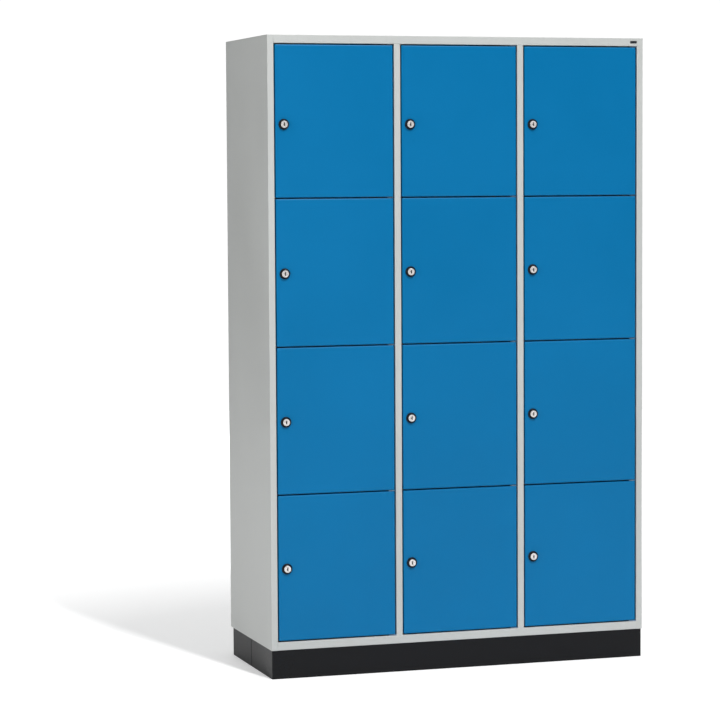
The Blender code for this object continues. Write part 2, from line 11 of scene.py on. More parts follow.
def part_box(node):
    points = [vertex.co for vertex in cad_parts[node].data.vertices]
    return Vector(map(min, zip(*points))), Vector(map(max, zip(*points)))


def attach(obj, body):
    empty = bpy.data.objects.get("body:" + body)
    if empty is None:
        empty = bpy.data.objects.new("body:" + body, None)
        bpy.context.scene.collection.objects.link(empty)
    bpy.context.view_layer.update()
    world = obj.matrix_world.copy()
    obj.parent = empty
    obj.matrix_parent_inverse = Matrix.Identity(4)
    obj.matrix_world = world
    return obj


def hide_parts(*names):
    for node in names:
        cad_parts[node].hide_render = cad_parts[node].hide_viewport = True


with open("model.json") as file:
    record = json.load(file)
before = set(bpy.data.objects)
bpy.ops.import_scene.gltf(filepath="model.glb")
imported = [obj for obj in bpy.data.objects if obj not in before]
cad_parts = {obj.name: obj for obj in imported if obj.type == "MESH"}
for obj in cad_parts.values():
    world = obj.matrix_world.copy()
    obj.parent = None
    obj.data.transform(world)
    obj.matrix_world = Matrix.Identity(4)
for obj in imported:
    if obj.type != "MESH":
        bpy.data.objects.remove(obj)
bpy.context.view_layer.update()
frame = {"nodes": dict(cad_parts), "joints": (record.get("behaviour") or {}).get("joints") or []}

# ---------------------------------------------------------------- sizes of the small pieces
# A lock's pieces are placed from its axis on the door's face: x to the right, y back, z up.
MILLIMETRES = 1000  # to the metre
SAME_PLACE = 1e-6  # points nearer than this are one
SAME_WAY = 0.99  # cosine from which an edge runs along an axis
CLEAR = 0.00005  # between pieces that touch
SHEET = 0.001
FINE_EDGE = 0.0003  # radius that breaks a small metal edge
COLLAR_RADIUS = 0.0165
COLLAR_FRONT_RADIUS = 0.0125
COLLAR_RIM = 0.0018  # its straight edge on the door, below the taper
COLLAR_PROUD = 0.0075
COLLAR_SHOULDER = 0.0010  # radius between the rim and the taper
COLLAR_LIP = 0.0005
NECK_RADIUS = 0.0106
HEAD_RADIUS = 0.0105
HEAD_BORE = 0.0109
HEAD_LENGTH = 0.0045
HEAD_EDGE = 0.0009
BARREL_RADIUS = 0.008
BARREL_BORE = 0.0084
BARREL_EDGE = 0.0004
ROTOR_RADIUS = 0.0068
ROTOR_GROOVE = 0.0004  # width and depth
ROTOR_EDGE = 0.0001
PLUG_FACE = -0.009
KEYWAY = (0.0034, 0.0110, 0.006)  # width, height, depth
WAFERS = 4
WAFER_SHEET = 0.0010
WAFER_PITCH = 0.0012
WAFER_SUNK = 0.0007  # from the plug's face to the first wafer
CAM_FRONT = 0.0188
CAM_SHEET = 0.002
CAM_REACH = 0.037
CAM_HUB = 0.009
CAM_TIP = 0.005
NUT_ACROSS = 0.0128  # over its corners
NUT_SEAT = (0.0036, 0.0072, 0.0007)  # the washer's bore radius, outer radius and thickness
NUT_HEIGHT = 0.0020
THREAD_RADIUS = 0.0030
THREAD_PROUD = 0.0004
CASE_LEFT = 0.012
CASE_RIGHT = 0.042
CASE_ABOVE = 0.045
CASE_BELOW = 0.066
CASE_FRONT = 0.0013
CASE_SPLIT = 0.0264  # between the case and its cover
CASE_BACK = 0.045
CASE_EDGE = 0.0016
CASE_WALL = 0.0013  # left behind the bore for the barrel
CAM_SLOT_GAP = 0.0006
CAM_SLOT_FOOT = 0.003  # room below the cam's tip
COIN_X = 0.015
COIN_SLOT = (0.003, 0.027, 0.015)
COIN_SLOT_Z = 0.0245
COIN_CUP = (0.030, 0.026, 0.017)
COIN_CUP_Z = -0.046
COIN_CUP_CORNER = 0.0045
SLOT_PLATE = (0.011, 0.034, 0.0012)
SLOT_PLATE_CORNER = 0.003
SCREW_RADIUS = 0.0029
SCREW_HEAD = 0.0012
SCREW_DOME = 0.0009  # radius of the head's shoulder
SCREW_CROSS = (0.0016, 0.0004, 0.0005, 0.002)  # half length, half width, floor, top of the cutter
SCREW_TURNS = (10, 25)  # degrees: the first screw's, and from each to the next
SCREW_WELL = (0.0035, 0.0016)  # radius, depth
SCREW_INSET = 0.0055
WASHER_RADIUS = 0.0046
WASHER_SHEET = 0.0006
PIN_HOLE = 0.0033
TAB_CLEARANCE = 0.0008
RIB_SHEET = 0.0008
RIB_FOOT = 0.012
RIB_FACE = 0.036
RIB_SLOPE = 0.006
RIB_HEIGHT = 0.010
RIB_END_GAP = 0.026
RIB_FOLD = 0.0015
BUFFER_RADIUS = 0.006
BUFFER_TAPER = (0.85, 0.75)  # shares of the radius past the foot, and at the nose
BUFFER_FOOT = 0.0012
BUFFER_NOSE = 0.0016
BUFFER_EDGE = 0.0004
BUFFER_DROP = 1.4  # below the door's upper end, in radii
BUFFER_SHARES = (("left", 0.2), ("right", 0.8))  # of the door's width
RIVET_RADIUS = 0.0034
RIVET_PROUD = 0.0009
RIVET_EDGE = 0.0006
RIVET_DIMPLE = (0.0011, 0.0013)  # radius at its floor, and at its rim
RIVET_HEIGHTS = (0.6, 0.9)  # shares of the proud height at the dimple's floor, and at the edge
RIVET_PITCH = 0.15
RIVET_FROM_FOOT = 0.06
RIVET_FROM_TOP = 0.04
FLANGE = 0.020
SEAM = 0.0003  # open seam between the frame's sheets
BEND = 0.0015
WELD_DEPTH = 0.0007
BADGE_CORNER = 0.0012
BADGE_EDGE = 0.0002
BADGE_RIM = 0.0009
BADGE_FIELD = 0.00025

# ---------------------------------------------------------------- studio
CAMERA_PLACE = (-2.823, -8.076, 1.536)
CAMERA_YAW = -17.68
CAMERA_PITCH = -3.958
CAMERA_ROLL = -0.322
CAMERA_LENS = 135.4
CAMERA_SENSOR = 36
CAMERA_REACH = 100
LIGHT_TARGET = (0, 0, 0.9)
KEY_PLACE = (1.13, -7.68, 10.9)
KEY_SIZE = 0.6
KEY_POWER = 960
FILL_PLACE = (-6.5, -3.0, 2.8)
FILL_SIZE = 3.0
FILL_POWER = 130
BACK_PLACE = (1.1, 7.4, 2.8)
BACK_SIZE = 3.5
BACK_POWER = 130
TOP_PLACE = (0.3, -0.9, 4.6)
TOP_TARGET = (0, -0.3, 0)
TOP_SIZE = 1.2
TOP_POWER = 15
ROOM_LIGHT = (0.05, 0.42)  # near the horizon, and overhead
ROOM_LIGHT_SPAN = (0.1, 0.9)  # heights of the light's direction between which it grows
ROOM_TINT = (0.98, 0.99, 1.0, 1)
BACKDROP_GLOW = 1.05
FLOOR_RADIUS = 9.0
FLOOR_GLOW = (0.33, 1.0)  # near the object, and far from it
FLOOR_GLOW_SPAN = (1.2, 3.6)  # distances from the middle between which it grows
FLOOR_SPILL = 0.05  # share of that glow that falls on the object

# ---------------------------------------------------------------- places from the frame
# A compartment is called by its column from the left and its row from the floor, as in c1_r4.
JOINTS = {joint["name"]: joint for joint in frame["joints"]}
LOCKS = {name[len("plug_"):-len("_turn")]: Vector(joint["pos_m"])
         for name, joint in JOINTS.items() if name.startswith("plug_")}
COLUMNS = max(int(place[1]) for place in LOCKS)
ROWS = max(int(place[-1]) for place in LOCKS)


# ---------------------------------------------------------------- materials
MIX_FIRST, MIX_SECOND, MIX_RESULT = 6, 7, 2  # the colour sockets of a mix node


class Recipe:
    """A material in the making: the nodes that feed one Principled shader."""

    def __init__(self, name, colour, roughness, metallic=0.0, specular=0.5):
        self.material = bpy.data.materials.new(name)
        self.material.use_nodes = True
        self.tree = self.material.node_tree
        self.shader = self.tree.nodes["Principled BSDF"]
        self.set("Base Color", (*colour, 1.0))
        self.set("Roughness", roughness)
        self.set("Metallic", metallic)
        self.set("Specular IOR Level", specular)
        self.place = self.node("ShaderNodeTexCoord").outputs["Object"]
        self.colour = colour
        self.normal = None

    def set(self, socket, value):
        self.shader.inputs[socket].default_value = value

    def node(self, kind, **settings):
        made = self.tree.nodes.new(kind)
        for key, value in settings.items():
            setattr(made, key, value)
        return made

    def link(self, source, target):
        self.tree.links.new(source, target)

    def noise(self, scale, detail=2.0, stretch=None, place=None):
        """Noise with `scale` features to the unit of place, stretched along an axis if asked."""
        place = place or self.place
        if stretch:
            mapping = self.node("ShaderNodeMapping")
            mapping.inputs["Scale"].default_value = stretch
            self.link(place, mapping.inputs["Vector"])
            place = mapping.outputs["Vector"]
        noise = self.node("ShaderNodeTexNoise")
        noise.inputs["Scale"].default_value = scale
        noise.inputs["Detail"].default_value = detail
        self.link(place, noise.inputs["Vector"])
        return noise.outputs["Fac"]

    def spread(self, value, low, high, start=0.35, end=0.65):
        """A value moved from the start..end range to low..high, and held inside it."""
        change = self.node("ShaderNodeMapRange", clamp=True)
        limits = {"From Min": start, "From Max": end, "To Min": low, "To Max": high}
        for socket, number in limits.items():
            change.inputs[socket].default_value = number
        self.link(value, change.inputs["Value"])
        return change.outputs["Result"]

    def blend(self, factor, first, second):
        """A colour between two fixed ones."""
        mix = self.node("ShaderNodeMix", data_type="RGBA")
        self.link(factor, mix.inputs[0])
        mix.inputs[MIX_FIRST].default_value = (*first, 1.0)
        mix.inputs[MIX_SECOND].default_value = (*second, 1.0)
        return mix.outputs[MIX_RESULT]

    def math(self, operation, first, second):
        """The sum or product of two other nodes' outputs."""
        worked = self.node("ShaderNodeMath", operation=operation)
        self.link(first, worked.inputs[0])
        self.link(second, worked.inputs[1])
        return worked.outputs[0]

    def bump(self, height, distance):
        """Adds a relief of this height in metres over what the shader has so far."""
        bump = self.node("ShaderNodeBump")
        bump.inputs["Distance"].default_value = distance
        self.link(height, bump.inputs["Height"])
        if self.normal:
            self.link(self.normal, bump.inputs["Normal"])
        self.normal = bump.outputs["Normal"]
        self.link(self.normal, self.shader.inputs["Normal"])

    def shade(self, share):
        return tuple(channel * share for channel in self.colour)


def powder_coat(name, colour, roughness, specular=0.5, depth=1.0, uneven=0.03):
    """Baked powder paint: a fine grain, a broader orange peel and a slight unevenness in tone."""
    paint = Recipe(name, colour, roughness, specular=specular)
    cloud = paint.noise(2.2, detail=3)
    grain = paint.noise(1500, detail=2)
    peel = paint.noise(420, detail=2)
    tone = paint.blend(paint.spread(cloud, 0, 1), paint.shade(1 - uneven), paint.shade(1 + uneven))
    speck = paint.blend(paint.spread(grain, 0, 1, 0.3, 0.7), (0.93,) * 3, (1.05,) * 3)
    product = paint.node("ShaderNodeMix", data_type="RGBA", blend_type="MULTIPLY")
    product.inputs[0].default_value = 1.0
    paint.link(tone, product.inputs[MIX_FIRST])
    paint.link(speck, product.inputs[MIX_SECOND])
    paint.link(product.outputs[MIX_RESULT], paint.shader.inputs["Base Color"])
    rough = paint.math("ADD", paint.spread(cloud, roughness - 0.03, roughness + 0.03),
                       paint.spread(peel, -0.04, 0.04))
    paint.link(rough, paint.shader.inputs["Roughness"])
    paint.bump(peel, 0.00006 * depth)
    paint.bump(grain, 0.00002 * depth)
    return paint.material


def zinc_plate(name, colour):
    """Bright passivated zinc: fine rolling lines, cloudy patches and small dull spots."""
    zinc = Recipe(name, colour, 0.3, metallic=1.0)
    patches = zinc.noise(60, detail=4)
    lines = zinc.noise(1800, detail=2, stretch=(1.0, 1.0, 0.03))
    tone = zinc.blend(zinc.spread(patches, 0, 1), zinc.shade(0.82), zinc.shade(1.12))
    zinc.link(tone, zinc.shader.inputs["Base Color"])
    rough = zinc.math("ADD", zinc.spread(patches, 0.24, 0.40), zinc.spread(lines, -0.06, 0.06))
    zinc.link(rough, zinc.shader.inputs["Roughness"])
    zinc.bump(lines, 0.000012)
    return zinc.material


def nickel_plate(name, colour):
    """Nickel over a turned face: rings about the piece's own axis, from its `turn` map."""
    nickel = Recipe(name, colour, 0.22, metallic=0.40)
    rings_at = nickel.node("ShaderNodeUVMap", uv_map="turn").outputs["UV"]
    rings = nickel.noise(9.0, detail=3, place=rings_at)
    haze = nickel.noise(220, detail=3)
    tone = nickel.blend(nickel.spread(haze, 0, 1), nickel.shade(0.93), nickel.shade(1.04))
    nickel.link(tone, nickel.shader.inputs["Base Color"])
    rough = nickel.math("ADD", nickel.spread(rings, 0.16, 0.32), nickel.spread(haze, -0.03, 0.05))
    nickel.link(rough, nickel.shader.inputs["Roughness"])
    nickel.bump(rings, 0.00002)
    return nickel.material


def brushed_nickel(name, colour):
    """Nickel plate that was brushed up and down before it was plated."""
    nickel = Recipe(name, colour, 0.28, metallic=1.0)
    lines = nickel.noise(2400, detail=2, stretch=(1.0, 1.0, 0.02))
    nickel.link(nickel.spread(lines, 0.20, 0.36), nickel.shader.inputs["Roughness"])
    nickel.bump(lines, 0.000015)
    return nickel.material


def moulded_plastic(name, colour, roughness, texture=1.0, specular=0.5):
    """Injection moulding with a spark-eroded texture and faint rubbed patches."""
    plastic = Recipe(name, colour, roughness, specular=specular)
    rubbed = plastic.noise(45, detail=3)
    spark = plastic.noise(2600, detail=2)
    tone = plastic.blend(plastic.spread(rubbed, 0, 1), plastic.shade(0.8), plastic.shade(1.35))
    plastic.link(tone, plastic.shader.inputs["Base Color"])
    rough = plastic.math("ADD", plastic.spread(rubbed, roughness - 0.07, roughness + 0.05),
                         plastic.spread(spark, -0.05, 0.05))
    plastic.link(rough, plastic.shader.inputs["Roughness"])
    plastic.bump(spark, 0.00003 * texture)
    return plastic.material


GREY = (0.600, 0.615, 0.600)
BLUE = (0.0001, 0.180, 0.425)
CHARCOAL = (0.0060, 0.0062, 0.0075)

MATERIALS = {
    "carcass_grey": powder_coat("light_grey_powder_coat", GREY, 0.42, specular=0.4),
    "door_blue": powder_coat("blue_powder_coat", BLUE, 0.38, specular=0.20, depth=1.2),
    "plinth_charcoal": powder_coat("charcoal_powder_coat", CHARCOAL, 0.34, specular=0.25,
                                   depth=1.2, uneven=0.08),
    "hinge_zinc": zinc_plate("blue_zinc", (0.24, 0.38, 0.55)),
    "lock_black": moulded_plastic("black_moulding", (0.004, 0.004, 0.006), 0.36, specular=0.3),
    "lock_nickel": nickel_plate("turned_nickel", (0.97, 0.93, 0.91)),
    "badge_dark": moulded_plastic("badge_lacquer", (0.030, 0.032, 0.038), 0.25, texture=0.2),
}
RUBBER = moulded_plastic("buffer_rubber", (0.020, 0.020, 0.021), 0.70, texture=2.0)
NYLON = moulded_plastic("grey_nylon", (0.10, 0.10, 0.105), 0.45, texture=0.5)
BRUSHED = brushed_nickel("brushed_nickel", (0.80, 0.78, 0.75))
# brass darkened near black: painted shade for deep inside the keyway
KEYWAY_SHADE_BRASS = zinc_plate("brass_darkened_as_keyway_shade", (0.045, 0.034, 0.024))
SCREW_STEEL = zinc_plate("screw_steel", (0.42, 0.43, 0.45))


# ---------------------------------------------------------------- making shapes
def rounded(points, radii, steps=4):
    """An outline with its corners turned into arcs; a radius of 0 keeps a corner sharp."""
    points = [Vector(point) for point in points]
    path = []
    for index, corner in enumerate(points):
        radius = radii[index]
        if not radius:
            path.append(corner)
            continue
        into = (corner - points[index - 1]).normalized()
        out = (points[(index + 1) % len(points)] - corner).normalized()
        turn = math.atan2(into.x * out.y - into.y * out.x, into.dot(out))
        start = corner - into * radius * math.tan(abs(turn) / 2)
        centre = start + Vector((-into.y, into.x)) * math.copysign(radius, turn)
        for step in range(steps + 1):
            path.append(centre + Matrix.Rotation(turn * step / steps, 2) @ (start - centre))
    return path


def arc(centre, radius, start, end, steps):
    """Points on an arc between two angles in degrees."""
    angles = [math.radians(start + (end - start) * step / steps) for step in range(steps + 1)]
    return [(centre[0] + radius * math.cos(a), centre[1] + radius * math.sin(a)) for a in angles]


def turned(profile, steps, closed=True):
    """A shape turned about the Y axis from (radius, y) points."""
    shape = bmesh.new()
    corners = [shape.verts.new((radius, y, 0)) for radius, y in profile]
    line = [shape.edges.new(pair) for pair in zip(corners, corners[1:])]
    if closed:
        line.append(shape.edges.new((corners[-1], corners[0])))
    bmesh.ops.spin(shape, geom=corners + line, cent=(0, 0, 0), axis=(0, 1, 0), angle=2 * math.pi,
                   steps=steps, use_merge=True)
    bmesh.ops.remove_doubles(shape, verts=shape.verts, dist=SAME_PLACE)
    bmesh.ops.recalc_face_normals(shape, faces=shape.faces)
    return shape


def rod(radius, low, high, steps=32):
    """A plain round tool along Y."""
    return turned([(0, low), (radius, low), (radius, high), (0, high)], steps, closed=False)


def block(low, high, edge=0.0, segments=3):
    """A box between two corners, its edges rounded if an edge radius is given."""
    low, high = Vector(low), Vector(high)
    shape = bmesh.new()
    bmesh.ops.create_cube(shape, size=1.0)
    bmesh.ops.scale(shape, vec=high - low, verts=shape.verts)
    bmesh.ops.translate(shape, vec=(low + high) / 2, verts=shape.verts)
    if edge:
        bevelled(shape, shape.edges[:], edge, segments)
    return shape


def bevelled(shape, edges, radius, segments):
    bmesh.ops.bevel(shape, geom=edges, offset=radius, segments=segments, profile=0.5,
                    affect="EDGES", material=-1)
    return shape


def edges_along(shape, axis):
    """A shape's edges that run along the X, Y or Z axis."""
    number = "XYZ".index(axis)
    return [edge for edge in shape.edges
            if abs((edge.verts[1].co - edge.verts[0].co).normalized()[number]) > SAME_WAY]


def edges_at(shape, y):
    """A shape's edges that lie at one depth."""
    return [edge for edge in shape.edges
            if all(abs(vert.co.y - y) < SAME_PLACE for vert in edge.verts)]


def plate(outline, low, high, edge=0.0):
    """A flat piece of an (x, z) outline between two depths, its rims broken if an edge is given."""
    shape = bmesh.new()
    face = shape.faces.new([shape.verts.new((x, low, z)) for x, z in outline])
    made = bmesh.ops.extrude_face_region(shape, geom=[face])["geom"]
    bmesh.ops.translate(shape, vec=(0, high - low, 0),
                        verts=[item for item in made if isinstance(item, bmesh.types.BMVert)])
    bmesh.ops.recalc_face_normals(shape, faces=shape.faces)
    if edge:
        bevelled(shape, edges_at(shape, low) + edges_at(shape, high), edge, 2)
    return shape


def moved(shape, offset):
    bmesh.ops.translate(shape, vec=offset, verts=shape.verts)
    return shape


def turned_to(shape, angle, axis):
    bmesh.ops.rotate(shape, matrix=Matrix.Rotation(math.radians(angle), 3, axis), verts=shape.verts)
    return shape


def mesh_of(shape, name):
    mesh = bpy.data.meshes.new(name)
    shape.to_mesh(mesh)
    shape.free()
    return mesh


def joined(shapes, name):
    """Several shapes as one mesh, each a body of its own in it."""
    whole = bmesh.new()
    for shape in shapes:
        part = mesh_of(shape, name)
        whole.from_mesh(part)
        bpy.data.meshes.remove(part)
    return mesh_of(whole, name)


def finished(mesh, tools=(), thickness=0.0):
    """A mesh given a sheet's thickness and with tools cut out of it, all worked in."""
    scene = bpy.context.scene
    blank = bpy.data.objects.new(mesh.name, mesh)
    scene.collection.objects.link(blank)
    if thickness:
        sheet = blank.modifiers.new("Sheet", "SOLIDIFY")
        sheet.thickness = thickness
        sheet.offset = -1
        sheet.use_even_offset = True
    cutters = []
    for shape in tools:
        cutter = bpy.data.objects.new("cutter", mesh_of(shape, "cutter"))
        scene.collection.objects.link(cutter)
        cut = blank.modifiers.new("Cut", "BOOLEAN")
        cut.operation = "DIFFERENCE"
        cut.solver = "EXACT"
        cut.object = cutter
        cutters.append(cutter)
    bpy.context.view_layer.update()
    graph = bpy.context.evaluated_depsgraph_get()
    result = bpy.data.meshes.new_from_object(blank.evaluated_get(graph))
    result.name = mesh.name
    for thing in [blank, *cutters]:
        bpy.data.objects.remove(thing, do_unlink=True)
    return result


def shaded(mesh, angle=35):
    """A mesh shaded smooth, but for edges sharper than an angle in degrees."""
    mesh.shade_smooth()
    mesh.set_sharp_from_angle(angle=math.radians(angle))
    return mesh


def ring_map(mesh):
    """A mesh given a UV map of its points' distance from the Y axis and depth, in millimetres."""
    layer = mesh.uv_layers.new(name="turn")
    for loop in mesh.loops:
        x, y, z = mesh.vertices[loop.vertex_index].co
        layer.data[loop.index].uv = (math.hypot(x, z) * MILLIMETRES, y * MILLIMETRES)
    return mesh


def put(mesh, name, where, body, slot, material=None):
    """A copy of a piece's mesh, moved to its place in the mesh itself, riding on a body."""
    copy = mesh.copy()
    copy.name = name
    copy.transform(Matrix.Translation(where))
    copy.materials.clear()
    copy.materials.append(material or MATERIALS[slot])
    piece = bpy.data.objects.new(name, copy)
    bpy.context.scene.collection.objects.link(piece)
    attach(piece, body)
    return piece


# ---------------------------------------------------------------- lock on the door's face
def collar_mesh():
    """The tapered collar that covers the hole in the door, and its neck through the sheet."""
    front = -COLLAR_PROUD
    seat = PLUG_FACE + HEAD_LENGTH + CLEAR
    neck_end = CASE_FRONT - CLEAR
    outline = rounded(
        [(NECK_RADIUS, neck_end), (NECK_RADIUS, -CLEAR), (COLLAR_RADIUS, -CLEAR),
         (COLLAR_RADIUS, -COLLAR_RIM), (COLLAR_FRONT_RADIUS, front), (HEAD_BORE, front),
         (HEAD_BORE, seat), (BARREL_BORE, seat), (BARREL_BORE, neck_end)],
        [0, 0, FINE_EDGE, COLLAR_SHOULDER, COLLAR_LIP, FINE_EDGE, 0, 0, 0], steps=5)
    return shaded(mesh_of(turned(outline, 64), "lock_collar"))


def plug_mesh():
    """The plug: a turned head with a groove round its rotor, the stepped keyway, and the barrel."""
    head_end = PLUG_FACE + HEAD_LENGTH
    barrel_end = CAM_FRONT - CLEAR
    groove = ROTOR_RADIUS + ROTOR_GROOVE
    groove_floor = PLUG_FACE + ROTOR_GROOVE
    outline = rounded(
        [(0, PLUG_FACE), (ROTOR_RADIUS, PLUG_FACE), (ROTOR_RADIUS, groove_floor),
         (groove, groove_floor), (groove, PLUG_FACE), (HEAD_RADIUS, PLUG_FACE),
         (HEAD_RADIUS, head_end), (BARREL_RADIUS, head_end), (BARREL_RADIUS, barrel_end),
         (0, barrel_end)],
        [0, ROTOR_EDGE, 0, 0, ROTOR_EDGE, HEAD_EDGE, 0, 0, BARREL_EDGE, 0])
    width, height, depth = KEYWAY
    low, high = PLUG_FACE - depth, PLUG_FACE + depth
    keyway = block((-width / 2, low, -height / 2), (width / 2, high, height / 2))
    step = block((-width, low, -height / 6), (0, high, height / 12))
    plug = finished(mesh_of(turned(outline, 64, closed=False), "plug"), tools=[keyway, step])
    return ring_map(shaded(plug))


def tumblers_mesh():
    """The wafers that fill the keyway a little below the plug's face: brass painted near black as
    the keyway's shade.
    """
    width, height = KEYWAY[:2]
    wafers = []
    for number in range(WAFERS):
        front = PLUG_FACE + WAFER_SUNK + WAFER_PITCH * number
        wafers.append(block((-width / 2 + CLEAR, front, -height / 2 + CLEAR),
                            (width / 2 - CLEAR, front + WAFER_SHEET, height / 2 - CLEAR)))
    return joined(wafers, "tumblers")


def cam_mesh():
    """The flat steel cam, which hangs down when the door is free."""
    tip = (0, CAM_TIP - CAM_REACH)
    outline = arc((0, 0), CAM_HUB, 0, 180, 20) + arc(tip, CAM_TIP, 180, 360, 14)
    cam = plate(outline, CAM_FRONT, CAM_FRONT + CAM_SHEET, FINE_EDGE)
    return shaded(mesh_of(cam, "cam"), 30)


def cam_nut_mesh():
    """The washer and the nut that hold the cam, and the end of the thread in them."""
    inner, outer, sheet = NUT_SEAT
    seat = CAM_FRONT + CAM_SHEET + CLEAR
    washer_end = seat + sheet
    nut_end = washer_end + NUT_HEIGHT
    washer = turned([(inner, seat), (outer, seat), (outer, washer_end), (inner, washer_end)], 32)
    corners = arc((0, 0), NUT_ACROSS / 2, 0, 300, 5)
    nut = plate(corners, washer_end + CLEAR, nut_end, FINE_EDGE)
    thread = rod(THREAD_RADIUS, nut_end + CLEAR, nut_end + THREAD_PROUD, 24)
    return shaded(joined([washer, nut, thread], "cam_nut"), 30)


# ---------------------------------------------------------------- coin mechanism behind the door
def case_mesh():
    """The front part of the case, with the barrel's bore and the slot that the cam turns in."""
    case = block((-CASE_LEFT, CASE_FRONT, -CASE_BELOW),
                 (CASE_RIGHT, CASE_SPLIT - CLEAR, CASE_ABOVE), CASE_EDGE)
    low, high = CAM_FRONT - CAM_SLOT_GAP, CAM_FRONT + CAM_SHEET + CAM_SLOT_GAP
    cam_slot = block((-2 * CASE_LEFT, low, -CAM_REACH - CAM_SLOT_FOOT),
                     (CAM_HUB + CAM_SLOT_GAP, high, CAM_HUB + CAM_SLOT_GAP))
    bore = rod(BARREL_BORE, -CASE_FRONT, CASE_SPLIT - CASE_WALL, 40)
    return shaded(finished(mesh_of(case, "coin_case"), tools=[bore, cam_slot]))


def slot_plate_block(grow=0.0):
    """The plate round the coin slot, as a block with round corners."""
    width, height, sheet = SLOT_PLATE
    body = block(
        (COIN_X - width / 2 - grow, CASE_BACK - sheet - grow, COIN_SLOT_Z - height / 2 - grow),
        (COIN_X + width / 2 + grow, CASE_BACK + grow, COIN_SLOT_Z + height / 2 + grow))
    return bevelled(body, edges_along(body, "Y"), SLOT_PLATE_CORNER, 5)


def coin_mouth():
    """The space of the slot that the coin goes in through."""
    width, height, depth = COIN_SLOT
    return block((COIN_X - width / 2, CASE_BACK - depth, COIN_SLOT_Z - height / 2),
                 (COIN_X + width / 2, CASE_BACK + depth, COIN_SLOT_Z + height / 2))


def coin_cup():
    """The space of the cup that the coin drops back into, round in its corners."""
    width, height, depth = COIN_CUP
    floor = CASE_BACK - depth
    cup = block((COIN_X - width / 2, floor, COIN_CUP_Z - height / 2),
                (COIN_X + width / 2, CASE_BACK + depth, COIN_CUP_Z + height / 2))
    return bevelled(cup, edges_along(cup, "Y") + edges_at(cup, floor), COIN_CUP_CORNER, 5)


def screw_places():
    """(x, z) of the four screws that hold the cover."""
    return [(x, z) for x in (SCREW_INSET - CASE_LEFT, CASE_RIGHT - SCREW_INSET)
            for z in (SCREW_INSET - CASE_BELOW, CASE_ABOVE - SCREW_INSET)]


def cover_mesh():
    """The rear part of the case: coin slot, cup, screw wells and a recess for the slot's plate."""
    cover = block((-CASE_LEFT, CASE_SPLIT, -CASE_BELOW), (CASE_RIGHT, CASE_BACK, CASE_ABOVE),
                  CASE_EDGE, 4)
    radius, depth = SCREW_WELL
    wells = [moved(rod(radius, CASE_BACK - depth, CASE_BACK + depth), (x, 0, z))
             for x, z in screw_places()]
    tools = [slot_plate_block(grow=2 * CLEAR), coin_mouth(), coin_cup(), *wells]
    return shaded(finished(mesh_of(cover, "coin_cover"), tools=tools))


def slot_plate_mesh():
    """The plated frame round the coin slot, with a broken rear edge."""
    body = slot_plate_block()
    bevelled(body, edges_at(body, CASE_BACK), FINE_EDGE, 2)
    return shaded(finished(mesh_of(body, "slot_plate"), tools=[coin_mouth()]))


def cross_screw():
    """A pan-head screw that faces back, its seat at y = 0."""
    head = rounded([(0, SCREW_HEAD), (SCREW_RADIUS, SCREW_HEAD), (SCREW_RADIUS, 0), (0, 0)],
                   [0, SCREW_DOME, 0, 0])
    screw = mesh_of(turned(head, 20, closed=False), "screw")
    reach, half, low, high = SCREW_CROSS
    arms = [block((-x, low, -z), (x, high, z)) for x, z in ((reach, half), (half, reach))]
    return finished(screw, tools=arms)


def case_screws_mesh():
    """The four screws in the cover's wells, each turned a little further than the last."""
    screw = cross_screw()
    first, step = SCREW_TURNS
    shapes = []
    for number, (x, z) in enumerate(screw_places()):
        shape = bmesh.new()
        shape.from_mesh(screw)
        turned_to(shape, first + step * number, "Y")
        shapes.append(moved(shape, (x, CASE_BACK - SCREW_WELL[1] + CLEAR, z)))
    return shaded(joined(shapes, "case_screws"))


def fit_locks():
    """Every door's lock: the case rides on the door, and what the key turns on the plug."""
    collar, plug, tumblers = collar_mesh(), plug_mesh(), tumblers_mesh()
    cam, nut, case, cover = cam_mesh(), cam_nut_mesh(), case_mesh(), cover_mesh()
    slot_plate, screws = slot_plate_mesh(), case_screws_mesh()
    for place, axis in LOCKS.items():
        door, key = f"door_{place}", f"plug_{place}"
        housing = put(case, f"coin_case_{place}", axis, door, "lock_black")
        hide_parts(f"coin_lock_{place}")
        put(cover, f"coin_cover_{place}", axis, door, "lock_black")
        put(slot_plate, f"coin_slot_plate_{place}", axis, door, "lock_nickel", BRUSHED)
        put(screws, f"coin_case_screws_{place}", axis, door, "hinge_zinc", SCREW_STEEL)
        put(collar, f"lock_collar_{place}", axis, door, "lock_black")
        turning = put(plug, f"plug_{place}_barrel", axis, key, "lock_nickel")
        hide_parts(f"lock_plug_{place}")
        # the wafers take the near-black brass, which paints the shade inside the keyway
        put(tumblers, f"tumblers_{place}", axis, key, "lock_nickel", KEYWAY_SHADE_BRASS)
        put(cam, f"cam_{place}", axis, key, "hinge_zinc")
        put(nut, f"cam_nut_{place}", axis, key, "hinge_zinc", SCREW_STEEL)


# ---------------------------------------------------------------- doors
def washer_mesh(faces_up):
    """A washer on a hinge pin, between the end of a door (z = 0) and the tab past it."""
    low = (TAB_CLEARANCE - WASHER_SHEET) / 2
    washer = turned([(PIN_HOLE, low), (WASHER_RADIUS, low), (WASHER_RADIUS, low + WASHER_SHEET),
                     (PIN_HOLE, low + WASHER_SHEET)], 32)
    return shaded(mesh_of(turned_to(washer, 90 if faces_up else -90, "X"), "washer"))


